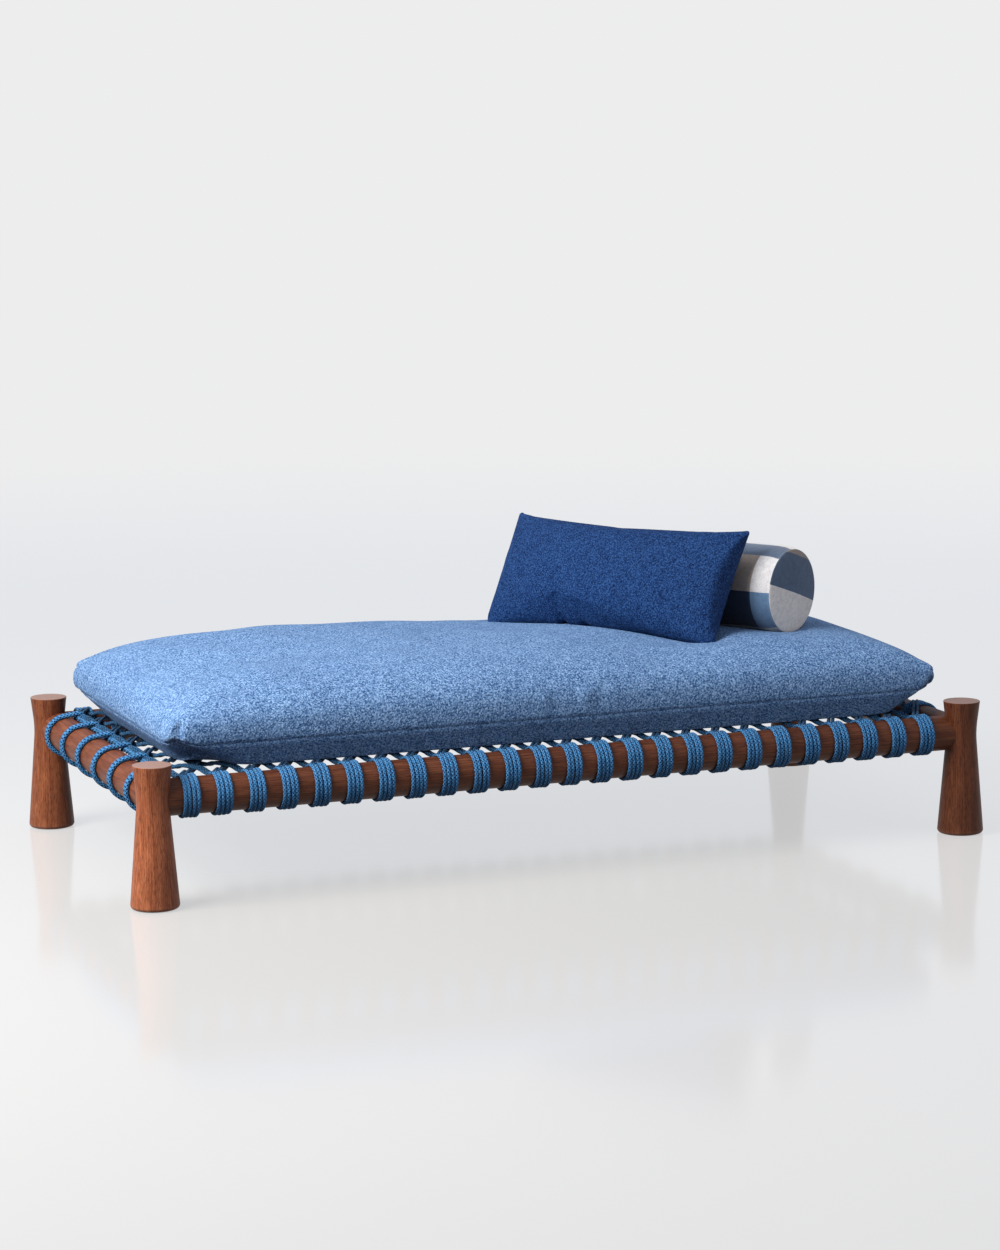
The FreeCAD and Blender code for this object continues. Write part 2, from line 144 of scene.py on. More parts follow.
# How far it stands out past its CAD box: at the foot, at the head and at each side.
MATTRESS_PROUD = (16 * MM, -2 * MM, 6 * MM)
MATTRESS_CORNER = 50 * MM
MATTRESS_TUCK = 34 * MM
# How far the seam lifts at the corners: front and back of the foot end, then of the head end.
CORNER_LIFTS = ((12 * MM, 30 * MM), (26 * MM, 24 * MM))
CORNER_REACH = 75 * MM
CORNER_FULLNESS = 0.5
CROWN_POWERS = (4.6, 3.2)
CROWN_ROUND = 1 / 2.9
# Place (x, y), reach and height of each broad swell (or hollow, below 0) of the top.
SWELLS = (
    (-0.49, 0.27, 0.14, 9 * MM),
    (-0.84, 0.22, 0.16, 11 * MM),
    (-0.78, -0.14, 0.10, -7 * MM),
    (-0.66, -0.28, 0.07, 6 * MM),
    (-0.52, -0.12, 0.09, -5 * MM),
    (0.08, 0.16, 0.19, -19 * MM),
    (0.32, -0.22, 0.16, -15 * MM),
    (0.64, -0.20, 0.14, -12 * MM),
    (0.88, 0.05, 0.12, 6 * MM),
)
PINCH_DEPTH = 15 * MM
PINCH_PLACE = -8 * MM
PINCH_WIDTH = 6 * MM
PINCH_HEIGHT = 18 * MM
PINCH_RISE = 24 * MM
PINCH_BLEND = 8 * MM
PINCH_BULGE = 0.4
DENT_GAP = 1 * MM
DENT_ROUNDS = 26
DENT_SPREAD = 0.985
DENT_FULLNESS = 1.6
# The band below the seam, row by row: share of the way down, and mm drawn in.
BAND_ROWS = ((0.03, 5.0), (0.08, 6.0), (0.14, 4.0), (0.35, 11.0), (0.6, 20.0), (0.82, 27.0), (0.96, 32.0))
BAND_CORNER_RISE = 0.4
BASE_SINK = 3 * MM
BASE_CORNER_RISE = 18 * MM
PUCKER_DEPTH = 0.5 * MM
PUCKER_WAVES = 1.9
CORNER_INSET = 1.1
FOOT_INSET = 0.3
SLOW_WAVE = 4.0 * MM
QUICK_WAVE = 3.5 * MM
MATTRESS_CELLS = (132, 72)
MATTRESS_EASE = (0.5, 0.4)
# Colours of the shaded, middle and light yarn.
MATTRESS_TONES = ((0.025, 0.068, 0.165), (0.107, 0.197, 0.360), (0.255, 0.385, 0.600))
MATTRESS_YARN = 3.8 * MM

# --- pillow ---
PILLOW_SIZE = (0.672, 0.306)
PILLOW_HALF = 66 * MM
# Radius of its lower and its upper corners.
PILLOW_CORNERS = (34 * MM, 13 * MM)
PILLOW_RISE = -3 * MM
# Place along the lower edge and depth of each crease.
PILLOW_CREASES = ((-0.105, 13 * MM), (-0.035, 9 * MM))
CREASE_WIDTH = 11 * MM
CREASE_REACH = 45 * MM
PILLOW_CELLS = (92, 46)
PILLOW_EASE = 0.3
# How far its ends and its long edges pull in half way between the corners, as a share.
PILLOW_WAIST = (0.022, 0.075)
PILLOW_POWERS = (2.3, 2.1)
PILLOW_ROUND = 0.58
PILLOW_PUFF = {"pressure": 3.0, "frames": 14, "stiffness": 18, "limit": 15 * MM}
PILLOW_TONES = ((0.002, 0.009, 0.036), (0.008, 0.028, 0.100), (0.026, 0.072, 0.195))
PILLOW_YARN = 3.2 * MM
TOUCH_GAP = 2 * MM

# --- bolster ---
BOLSTER_AROUND = 96
BOLSTER_CELL = 8 * MM
BOLSTER_PUFF = {"pressure": 2.0, "frames": 16, "stiffness": 25, "limit": 7 * MM}
CAP_ROWS = 9
CAP_RIM = 8 * MM
CAP_DOME = 13 * MM
CAP_CURVE = 1.35
CAP_SHARE = 0.975
TUBE_START = 6 * MM
SEAM_DRAW = 0.07
SEAM_REACH = 11 * MM

COLOURS = {
    "slate": (0.088, 0.120, 0.180),
    "cream": (0.740, 0.665, 0.600),
    "taupe": (0.310, 0.250, 0.210),
    "white": (0.560, 0.540, 0.540),
    "navy": (0.014, 0.024, 0.050),
    "blue": (0.095, 0.165, 0.270),
    "grey": (0.480, 0.470, 0.465),
}
# Lowest place and colour of each band of an end, from the bottom up.
NEAR_CAP = ((-1.0, "cream"), (-4 * MM, "slate"), (84 * MM, "taupe"))
FAR_CAP = ((-1.0, "grey"), (12 * MM, "navy"))
CAP_TILT = math.radians(-18)
# Where each patch of the side ends: degrees round from the top, and metres from the near end.
SIDE_SECTORS = (34, 86, 141, 200, 262, 318, 360)
SIDE_COLUMNS = (0.055, 0.275, 0.430, 1.0)
# One row for each sector, one colour for each column.
SIDE_COLOURS = (
    ("slate", "slate", "cream", "blue"),
    ("white", "taupe", "navy", "grey"),
    ("blue", "navy", "taupe", "white"),
    ("grey", "grey", "slate", "cream"),
    ("navy", "cream", "white", "slate"),
    ("taupe", "blue", "grey", "navy"),
    ("cream", "white", "blue", "taupe"),
)
WEAVE_STEP = 2.2 * MM


# --- small helpers ---
def middle(node):
    """The centre of a CAD node's box."""
    low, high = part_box(node)
    return (low + high) / 2


def size_of(node):
    """The size of a CAD node's box."""
    low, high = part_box(node)
    return high - low


def solids(node):
    """The corner points of each separate solid of a CAD node, in a fixed order."""
    mesh = bmesh.new()
    mesh.from_mesh(NODES[node].data)
    bmesh.ops.remove_doubles(mesh, verts=mesh.verts, dist=WELD)
    mesh.verts.ensure_lookup_table()
    mesh.verts.index_update()
    seen = [False] * len(mesh.verts)
    found = []
    for first in mesh.verts:
        if seen[first.index]:
            continue
        seen[first.index] = True
        group = [first]
        for vert in group:
            for edge in vert.link_edges:
                other = edge.other_vert(vert)
                if not seen[other.index]:
                    seen[other.index] = True
                    group.append(other)
        found.append(np.array([v.co[:] for v in group]))
    mesh.free()
    return sorted(found, key=lambda points: tuple(np.round(points.mean(0), 4)))


def points_of(obj):
    """A mesh object's vertices as an array."""
    flat = np.empty(len(obj.data.vertices) * 3)
    obj.data.vertices.foreach_get("co", flat)
    return flat.reshape(-1, 3)


def set_points(obj, points):
    """Move a mesh object's vertices."""
    obj.data.vertices.foreach_set("co", np.ascontiguousarray(points).ravel())
    obj.data.update()


def eased(share, amount):
    """Places from -1 to 1 drawn towards both ends, where a cushion turns most."""
    return share * (1 + amount - amount * share ** 2)


def cell_grid(cells):
    """Even places from -1 to 1 in two directions, one more than the number of cells each way."""
    sides = [np.linspace(-1, 1, count + 1) for count in cells]
    return np.meshgrid(*sides, indexing="ij")


def quads_of(number):
    """The faces between the points of a numbered grid, anticlockwise from above."""
    corners = (number[:-1, :-1], number[1:, :-1], number[1:, 1:], number[:-1, 1:])
    return np.stack(corners, axis=-1).reshape(-1, 4)


def ring_faces(upper, lower):
    """The faces between two closed rings of numbered points, one below the other."""
    return np.stack([upper, lower, np.roll(lower, -1), np.roll(upper, -1)], axis=-1).tolist()


def new_piece(name, points, faces, uv=None):
    """A smooth mesh object. uv holds one pair for each corner of each face."""
    mesh = bpy.data.meshes.new(name)
    mesh.from_pydata([tuple(p) for p in points], [], [[int(v) for v in face] for face in faces])
    if uv is not None:
        layer = mesh.uv_layers.new(name="cloth")
        layer.data.foreach_set("uv", np.asarray(uv, dtype=np.float32).ravel())
    mesh.polygons.foreach_set("use_smooth", [True] * len(mesh.polygons))
    mesh.update()
    obj = bpy.data.objects.new(name, mesh)
    bpy.context.scene.collection.objects.link(obj)
    return obj


def apply_modifiers(obj):
    """Bake an object's modifiers into its mesh."""
    bpy.context.view_layer.update()
    baked = bpy.data.meshes.new_from_object(obj.evaluated_get(bpy.context.evaluated_depsgraph_get()))
    baked.name = obj.name
    obj.modifiers.clear()
    obj.data = baked


def subdivide(obj):
    """One round of smooth subdivision."""
    modifier = obj.modifiers.new("smooth", "SUBSURF")
    modifier.levels = 1
    modifier.render_levels = 1
    apply_modifiers(obj)


def surface_of(obj):
    """A tree for casting rays at an object's mesh."""
    mesh = obj.data
    return BVHTree.FromPolygons([v.co[:] for v in mesh.vertices], [p.vertices[:] for p in mesh.polygons])


def inflate(obj, pressure, frames, stiffness, limit):
    """Puff a closed cover up by cloth simulation. No point ends further than limit from its start."""
    before = points_of(obj)
    cloth = obj.modifiers.new("puff", "CLOTH")
    cloth.settings.quality = CLOTH_QUALITY
    cloth.settings.mass = CLOTH_MASS
    cloth.settings.tension_stiffness = stiffness
    cloth.settings.compression_stiffness = stiffness
    cloth.settings.shear_stiffness = stiffness / 2
    cloth.settings.bending_stiffness = CLOTH_BENDING
    cloth.settings.air_damping = CLOTH_DAMPING
    cloth.settings.use_pressure = True
    cloth.settings.uniform_pressure_force = pressure
    cloth.settings.effector_weights.gravity = 0
    cloth.collision_settings.use_collision = False
    scene = bpy.context.scene
    cloth.point_cache.frame_start = 1
    cloth.point_cache.frame_end = frames
    for number in range(1, frames + 1):
        scene.frame_set(number)
    apply_modifiers(obj)
    scene.frame_set(1)
    move = points_of(obj) - before
    far = np.linalg.norm(move, axis=1, keepdims=True)
    set_points(obj, before + move * np.minimum(1, limit / np.maximum(far, WELD)))


# --- shader helpers ---
SOCKETS = {
    "metallic": "Metallic",
    "sheen_roughness": "Sheen Roughness",
    "sheen_weight": "Sheen Weight",
    "specular": "Specular IOR Level",
    "glow": "Emission Strength",
}


class NodeTree:
    """A node tree under construction."""

    def __init__(self, tree):
        self.tree = tree

    def node(self, kind, inputs=None, **settings):
        """Add a node. inputs maps a socket's name or number to a value or to an output socket."""
        made = self.tree.nodes.new("ShaderNode" + kind)
        for key, value in settings.items():
            setattr(made, key, value)
        for key, value in (inputs or {}).items():
            self.feed(made.inputs[key], value)
        return made

    def feed(self, socket, value):
        """Give a socket a value or a link."""
        if isinstance(value, bpy.types.NodeSocket):
            self.tree.links.new(value, socket)
        else:
            socket.default_value = value

    def math(self, operation, first, second=0.0, third=0.0):
        """The result of a calculation with up to three values."""
        return self.node("Math", {0: first, 1: second, 2: third}, operation=operation).outputs[0]

    def scaled(self, value, factor, more):
        """A value times a factor, with more added to it."""
        return self.math("MULTIPLY_ADD", value, factor, more)

    def noise(self, vector, scale, detail=2.0, roughness=0.5):
        """A noise value from 0 to 1. scale is in patches to the metre."""
        inputs = {"Vector": vector, "Scale": scale, "Detail": detail, "Roughness": roughness}
        return self.node("TexNoise", inputs).outputs["Fac"]

    def ramp(self, factor, stops):
        """A colour ramp from (place, colour) pairs."""
        made = self.node("ValToRGB", {"Fac": factor})
        elements = made.color_ramp.elements
        while len(elements) < len(stops):
            elements.new(0.5)
        for element, (place, colour) in zip(elements, stops):
            element.position = place
            element.color = (*colour, 1)
        return made.outputs["Color"]

    def mix(self, factor, first, second, blend="MIX"):
        """Two colours mixed, or the first one multiplied by the second."""
        made = self.node("Mix", data_type="RGBA", blend_type=blend)
        self.feed(made.inputs["Factor"], factor)
        self.feed(made.inputs[6], first if isinstance(first, bpy.types.NodeSocket) else (*first, 1))
        self.feed(made.inputs[7], second if isinstance(second, bpy.types.NodeSocket) else (*second, 1))
        return made.outputs[2]

    def bump(self, height, strength, distance, normal=None):
        """A normal tilted by a height value, on top of another bump if one is given."""
        inputs = {"Height": height, "Strength": strength, "Distance": distance}
        if normal is not None:
            inputs["Normal"] = normal
        return self.node("Bump", inputs).outputs["Normal"]

    def blend(self, factor, first, second):
        """Two surfaces mixed."""
        return self.node("MixShader", {0: factor, 1: first, 2: second}).outputs[0]


class Shader(NodeTree):
    """A material under construction."""

    def __init__(self, name):
        self.material = bpy.data.materials.new(name)
        self.material.use_nodes = True
        super().__init__(self.material.node_tree)
        self.surface = self.tree.nodes["Principled BSDF"]

    def place(self):
        """Coordinates that move with the piece, in metres."""
        return self.node("TexCoord").outputs["Object"]

    def map_axes(self):
        """The two coordinates of the map called cloth."""
        where = self.node("UVMap", uv_map="cloth").outputs[0]
        return self.node("SeparateXYZ", {0: where}).outputs

    def finish(self, colour, roughness, normal=None, **constants):
        """Connect the surface. constants name sockets whose value is the same all over."""
        self.feed(self.surface.inputs["Base Color"], colour)
        self.feed(self.surface.inputs["Roughness"], roughness)
        if normal is not None:
            self.feed(self.surface.inputs["Normal"], normal)
        for key, value in constants.items():
            self.surface.inputs[SOCKETS[key]].default_value = value
        return self.material


def tinted(colour, factor):
    """A colour made lighter (above 1) or darker."""
    return tuple(min(1.0, c * factor) for c in colour)


def tinted_stops(stops, factor):
    """The stops of a colour ramp made lighter or darker."""
    return [(place, tinted(colour, factor)) for place, colour in stops]


# --- materials ---
def wood_material(name, centre, along, depth):
    """Oiled reddish hardwood. centre is on the piece's axis, and its grain runs along X, Y or Z.

    depth lightens (above 1) or darkens the timber of this piece: painted light and shade, for how brightly
    the piece is lit.
    """
    shader = Shader(name)
    moved = shader.node("VectorMath", {0: shader.place(), 1: centre}, operation="SUBTRACT").outputs[0]
    axes = shader.node("SeparateXYZ", {0: moved}).outputs
    order = {"x": (1, 2, 0), "y": (2, 0, 1), "z": (0, 1, 2)}[along]
    side, other, length = (axes[i] for i in order)
    slow = shader.math("MULTIPLY", length, GRAIN_STRETCH)
    grain_place = shader.node("CombineXYZ", {0: side, 1: other, 2: slow}).outputs[0]
    slower = shader.math("MULTIPLY", length, PORE_STRETCH)
    pore_place = shader.node("CombineXYZ", {0: side, 1: other, 2: slower}).outputs[0]
    squares = []
    for axis, offset in zip((side, other), PITH_OFFSET):
        from_pith = shader.math("ADD", axis, offset)
        squares.append(shader.math("MULTIPLY", from_pith, from_pith))
    distance = shader.math("SQRT", shader.math("ADD", *squares))
    drift = shader.noise(grain_place, 22.0)
    wavy = shader.scaled(drift, RING_DRIFT, distance)
    rings = shader.math("SINE", shader.math("MULTIPLY", wavy, RING_WAVES))
    pores = shader.noise(pore_place, 900.0, 3.0, 0.6)
    streaks = shader.noise(grain_place, 110.0, 3.0, 0.6)
    mottle = shader.noise(moved, 9.0)
    tone = shader.scaled(rings, 0.07, shader.scaled(streaks, 0.75, 0.12))
    # Painted light and shade: depth makes the whole piece lighter where it is lit and darker where it is in
    # shade.
    body = shader.ramp(tone, tinted_stops(TIMBER_TONES, depth))
    pore_mask = shader.ramp(pores, [(0.36, (0.42, 0.40, 0.40)), (0.50, (1, 1, 1))])
    colour = shader.mix(1.0, body, pore_mask, "MULTIPLY")
    shade = shader.ramp(mottle, [(0.3, (0.84, 0.82, 0.82)), (0.7, (1.10, 1.08, 1.06))])
    colour = shader.mix(1.0, colour, shade, "MULTIPLY")
    if along == "z":
        colour = leg_ends(shader, colour, rings, mottle)
    rough = shader.scaled(pores, 0.25, 0.34)
    normal = shader.bump(pores, 0.35, 0.4 * MM)
    normal = shader.bump(streaks, 0.25, 0.6 * MM, normal)
    return shader.finish(colour, rough, normal, specular=0.22)


def leg_ends(shader, colour, rings, mottle):
    """The colour of a leg with pale end grain on its top and a worn edge at its foot."""
    height = shader.node("SeparateXYZ", {0: shader.place()}).outputs[2]
    start = LEG_TOP - END_GRAIN_DEPTH
    span = {0: height, 1: start, 2: start + END_GRAIN_BLEND, 3: 0.0, 4: 1.0}
    end = shader.node("MapRange", span).outputs[0]
    end_colour = shader.ramp(rings, [(0.1, (0.23, 0.135, 0.105)), (0.9, (0.30, 0.185, 0.15))])
    colour = shader.mix(end, colour, end_colour)
    span = {0: height, 1: FOOT_WEAR_FROM, 2: FOOT_WEAR_TO, 3: 0.0, 4: 0.45}
    wear = shader.math("MULTIPLY", shader.node("MapRange", span).outputs[0], mottle)
    return shader.mix(wear, colour, (0.30, 0.15, 0.10))


def fabric_material(name, tones, grain, coarse, sheen):
    """Heathered boucle: loops of shaded, middle and light yarn about grain metres across."""
    dark, plain, light = tones
    shader = Shader(name)
    place = shader.place()
    warp = shader.node("TexNoise", {"Vector": place, "Scale": 0.35 / grain, "Detail": 1.0}).outputs["Color"]
    bent = shader.node("VectorMath", {0: warp, "Scale": 1.2 * grain}, operation="SCALE").outputs[0]
    spot = shader.node("VectorMath", {0: place, 1: bent}, operation="ADD").outputs[0]
    loops = shader.node("TexVoronoi", {"Vector": spot, "Scale": 0.8 / grain, "Randomness": 1.0})
    yarn = shader.noise(spot, 1.0 / grain, 2.5, 0.6)
    patch = shader.noise(place, 0.16 / grain, 2.0)
    broad = shader.noise(place, 5.0, 2.0)
    tone = shader.scaled(patch, 0.12, shader.math("MULTIPLY", yarn, 0.90))
    # Each loop is painted darker towards its edge, where the bump sinks: painted shade between the loops.
    tone = shader.scaled(loops.outputs["Distance"], -0.16 * coarse, tone)
    colour = shader.ramp(tone, [(0.30, dark), (0.43, plain), (0.58, light)])
    shade = shader.ramp(broad, [(0.3, (0.93, 0.93, 0.94)), (0.7, (1.05, 1.05, 1.04))])
    colour = shader.mix(1.0, colour, shade, "MULTIPLY")
    height = shader.scaled(loops.outputs["Distance"], -0.8, yarn)
    normal = shader.bump(height, 0.8 * coarse, 1.8 * MM)
    rough = shader.scaled(yarn, 0.15, 0.80)
    made = shader.finish(colour, rough, normal, specular=0.2, sheen_weight=sheen, sheen_roughness=0.45)
    shader.surface.inputs["Sheen Tint"].default_value = (*tinted(light, 1.5), 1)
    return made


def rope_material(name, depth):
    """Braided blue rope. The map runs along each strand in braid lengths and round it once.

    depth lightens (above 1) or darkens it: painted light and shade, such as the darker web that lies in the
    mattress's shadow.
    """
    shader = Shader(name)
    axes = shader.map_axes()
    run = shader.math("MULTIPLY", axes[0], FULL_TURN)
    turn = shader.math("MULTIPLY", axes[1], 4 * FULL_TURN)
    one = shader.math("SINE", shader.math("ADD", turn, run))
    two = shader.math("SINE", shader.math("SUBTRACT", turn, run))
    braid = shader.math("MAXIMUM", one, two)
    place = shader.place()
    fibre = shader.noise(place, 1400.0, 3.0, 0.6)
    fleck = shader.noise(place, 210.0, 2.0, 0.55)
    # The braid's hollows are painted darker than its crowns: painted shade in the grooves, with real flecks
    # and fibre tone on top.
    tone = shader.scaled(braid, 0.24, shader.scaled(fleck, 0.60, 0.04))
    tone = shader.scaled(fibre, 0.22, tone)
    # depth paints light and shade into the rope's colour.
    colour = shader.ramp(tone, tinted_stops(ROPE_TONES, depth))
    height = shader.scaled(fibre, 0.25, braid)
    normal = shader.bump(height, 1.0, 1.2 * MM)
    rough = shader.scaled(fibre, 0.2, 0.68)
    return shader.finish(colour, rough, normal, specular=0.2, sheen_weight=0.05)


def patch_material(name, bands):
    """Patches of the bolster: a plain weave with heathered yarn.

    bands are (lowest place on the map, colour name) pairs, from the bottom up.
    """
    shader = Shader("patch_" + name)
    axes = shader.map_axes()
    turns = [shader.math("MULTIPLY", axis, FULL_TURN / WEAVE_STEP) for axis in axes[:2]]
    threads = [shader.math("SINE", turn) for turn in turns]
    weave = shader.math("MULTIPLY", *threads)
    place = shader.place()
    yarn = shader.noise(place, 420.0, 3.0, 0.65)
    slub = shader.noise(place, 90.0, 2.0)
    tone = shader.scaled(weave, 0.07, shader.scaled(slub, 0.35, 0.12))
    tone = shader.scaled(yarn, 0.60, shader.math("SUBTRACT", tone, 0.10))
    colour = None
    for lowest, tint in bands:
        base = COLOURS[tint]
        cloth = shader.ramp(tone, [(0.25, tinted(base, 0.62)), (0.50, base), (0.78, tinted(base, 1.30))])
        above = shader.math("GREATER_THAN", axes[0], lowest)
        colour = cloth if colour is None else shader.mix(above, colour, cloth)
    normal = shader.bump(shader.scaled(yarn, 0.8, weave), 0.35, 0.6 * MM)
    return shader.finish(colour, 0.85, normal, specular=0.2, sheen_weight=0.2)


def plastic_material():
    """Dark moulded plastic of the glides."""
    shader = Shader("glide_plastic")
    grain = shader.noise(shader.place(), 900.0, 2.0)
    colour = shader.ramp(grain, [(0.3, (0.012, 0.012, 0.013)), (0.7, (0.030, 0.030, 0.032))])
    rough = shader.scaled(grain, 0.2, 0.45)
    return shader.finish(colour, rough, shader.bump(grain, 0.2, 0.2 * MM))


def steel_material():
    """Zinc-plated steel of the bolts."""
    shader = Shader("bolt_steel")
    grain = shader.noise(shader.place(), 600.0, 3.0)
    colour = shader.ramp(grain, [(0.3, (0.42, 0.42, 0.43)), (0.7, (0.60, 0.60, 0.61))])
    rough = shader.scaled(grain, 0.25, 0.22)
    return shader.finish(colour, rough, shader.bump(grain, 0.15, 0.2 * MM), metallic=1.0)


def floor_material():
    """Pale polished floor that fades out towards its rim."""
    shader = Shader("floor_pale")
    place = shader.place()
    cloudy = shader.noise(place, 1.3, 3.0)
    colour = shader.ramp(cloudy, [(0.3, tinted(FLOOR_COLOUR, 0.985)), (0.7, tinted(FLOOR_COLOUR, 1.015))])
    shader.finish(colour, FLOOR_ROUGHNESS, specular=0.4, glow=FLOOR_GLOW)
    shader.surface.inputs["Emission Color"].default_value = (*WALL_COLOUR, 1)
    length = shader.node("VectorMath", {0: place}, operation="LENGTH").outputs["Value"]
    span = {0: length, 1: FLOOR_RADIUS, 2: FLOOR_FADE, 3: 0.0, 4: 1.0}
    fade = shader.node("MapRange", span, interpolation_type="SMOOTHSTEP").outputs[0]
    clear = shader.node("BsdfTransparent").outputs[0]
    faded = shader.blend(fade, clear, shader.surface.outputs[0])
    shader.feed(shader.tree.nodes["Material Output"].inputs["Surface"], faded)
    return shader.material


def dress(node, material):
    """Give a CAD node a material, on its object and not on its mesh."""
    obj = NODES[node]
    for slot in obj.material_slots:
        slot.link = "OBJECT"
        slot.material = material


# --- rope ---
class Strands:
    """Several strands of rope that make one piece."""

    def __init__(self):
        self.points = []
        self.faces = []
        self.uv = []
        self.count = 0

    def add(self, path, across, outward, width, thickness, sides, closed):
        """Lay a strand along path, a loop if closed. across and outward span its section at each point."""
        steps = len(path)
        angles = np.arange(sides) * FULL_TURN / sides
        spread = np.cos(angles)[None, :, None] * across[:, None, :] * width / 2
        rise = np.sin(angles)[None, :, None] * outward[:, None, :] * thickness / 2
        self.points.append((path[:, None, :] + spread + rise).reshape(-1, 3))
        runs = np.linalg.norm(np.diff(path, axis=0), axis=1)
        along = np.concatenate([[0], np.cumsum(runs)]) / ROPE_DIAMETER
        rows = steps if closed else steps - 1
        if closed:
            along = np.arange(steps + 1) * (round(along[-1] * steps / (steps - 1)) / steps)
        row = np.repeat(np.arange(rows), sides)
        side = np.tile(np.arange(sides), rows)
        next_row = (row + 1) % steps
        next_side = (side + 1) % sides
        turns = ((row, next_side), (next_row, next_side), (next_row, side), (row, side))
        self.faces += np.stack([r * sides + s + self.count for r, s in turns], axis=1).tolist()
        places = ((row, side + 1), (row + 1, side + 1), (row + 1, side), (row, side))
        corners = np.stack([np.stack([along[r], s / sides], 1) for r, s in places], axis=1)
        self.uv.append(corners.reshape(-1, 2))
        if not closed:
            for cap in (np.arange(sides)[::-1], np.arange(sides) + (steps - 1) * sides):
                self.faces.append((cap[::-1] + self.count).tolist())
                self.uv.append(np.zeros((sides, 2)))
        self.count += steps * sides

    def make(self, name, node, material):
        """Turn the strands into a piece that stands for a CAD node of the frame."""
        obj = new_piece(name, np.concatenate(self.points), self.faces, np.concatenate(self.uv))
        obj.data.materials.append(material)
        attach(obj, "frame")
        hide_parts(node)
        return obj


def offsets(count, seed):
    """Fixed draws from -1 to 1 that keep repeated strands from looking stamped."""
    return np.random.default_rng(seed).uniform(-1, 1, count)


def rail_bands(name, node, axis, material):
    """Bands of strands wound round a rail that runs along X (0) or Y (1)."""
    strands = Strands()
    across = np.eye(3)[axis]
    level = np.eye(3)[1 - axis]
    angles = np.arange(RING_STEPS) * FULL_TURN / RING_STEPS
    outward = np.cos(angles)[:, None] * level + np.sin(angles)[:, None] * np.array(UP)
    for number, points in enumerate(solids(node)):
        low, high = points.min(0), points.max(0)
        centre = (low + high) / 2
        radius = (high[2] - low[2]) / 2 - STRAND_THICKNESS / 2
        per_band = round((high[axis] - low[axis]) / STRAND_WIDTH)
        for strand, (lift, phase, lean) in enumerate(offsets(per_band * 3, number).reshape(-1, 3)):
            place = (strand - (per_band - 1) / 2) * (STRAND_WIDTH - BAND_SQUEEZE)
            place += math.copysign(BAND_SPLIT, place)
            wander = BAND_WANDER * lean * np.sin(angles + 3 * phase)
            loop = centre + across * (place + wander)[:, None] + outward * (radius + BAND_LIFT * lift)
            level_lines = np.tile(across, (RING_STEPS, 1))
            width = STRAND_WIDTH - BAND_SLACK
            strands.add(loop, level_lines, outward, width, STRAND_THICKNESS, RING_SIDES, True)
    return strands.make(name, node, material)


def weave_lift(y, rail_y, slope, pitch):
    """How far over (1) or under (-1) the other layer a pair of the upper layer runs."""
    run = (y + rail_y) / slope
    turn = np.cos(FULL_TURN * (run - STRAND_WIDTH) / pitch)
    return np.tanh(WEAVE_SHARPNESS * turn) / math.tanh(WEAVE_SHARPNESS)


def directions(path):
    """The direction a path runs in at each point."""
    tangent = np.gradient(path, axis=0)
    return tangent / np.linalg.norm(tangent, axis=1, keepdims=True)


def web_layer(name, node, sign, material, rail_y, pitch):
    """One direction of the diagonal web, woven over and under the other one.

    sign is 1 for the layer that starts over the other at the front rail, and -1 for the other.
    """
    strands = Strands()
    levels = [middle(n).z for n in ("rope_web_upper", "rope_web_lower")]
    centre_z = sum(levels) / 2
    swing = (levels[0] - levels[1]) / 2
    for points in solids(node):
        centre = points.mean(0)
        direction = np.linalg.svd(points - centre, full_matrices=False)[2][0]
        direction = direction if direction[1] > 0 else -direction
        runs = (points - centre) @ direction
        steps = max(LEAST_STEPS, round((np.ptp(runs) + 2 * WEB_REACH) / STRAND_STEP))
        along = np.linspace(runs.min() - WEB_REACH, runs.max() + WEB_REACH, steps)
        path = centre + along[:, None] * direction
        slope = abs(direction[1] / direction[0])
        path[:, 2] = centre_z + sign * swing * weave_lift(path[:, 1], rail_y, slope, pitch)
        tangent = directions(path)
        across = np.cross(np.array(UP), tangent)
        across /= np.linalg.norm(across, axis=1, keepdims=True)
        strands.add(path, across, np.cross(tangent, across), ROPE_DIAMETER, ROPE_DIAMETER, WEB_SIDES, False)
    return strands.make(name, node, material)


def belt(rail, cord, big_radius, small_radius, count):
    """Points and outward directions of a belt round the foot rail and the end cord, seen along Y."""
    gap = cord - rail
    distance = gap.length
    heading = math.atan2(gap.z, gap.x)
    lean = math.acos((big_radius - small_radius) / distance)
    big = np.linspace(heading + lean, heading - lean + FULL_TURN, round(count * RAIL_SHARE))
    small = np.linspace(heading - lean, heading + lean, round(count * (1 - RAIL_SHARE)))
    centres = np.array([rail[:]] * len(big) + [cord[:]] * len(small))
    radii = np.array([big_radius] * len(big) + [small_radius] * len(small))
    angles = np.concatenate([big, small])
    outward = np.stack([np.cos(angles), np.zeros(len(angles)), np.sin(angles)], axis=1)
    return centres + outward * radii[:, None], outward


def even_steps(path, outward, count):
    """A closed path and its outward directions at even steps."""
    loop = np.vstack([path, path[:1]])
    runs = np.concatenate([[0], np.cumsum(np.linalg.norm(np.diff(loop, axis=0), axis=1))])
    places = np.linspace(0, runs[-1], count, endpoint=False)
    turned = np.vstack([outward, outward[:1]])
    even = np.stack([np.interp(places, runs, loop[:, i]) for i in range(3)], axis=1)
    facing = np.stack([np.interp(places, runs, turned[:, i]) for i in range(3)], axis=1)
    return even, facing / np.linalg.norm(facing, axis=1, keepdims=True)


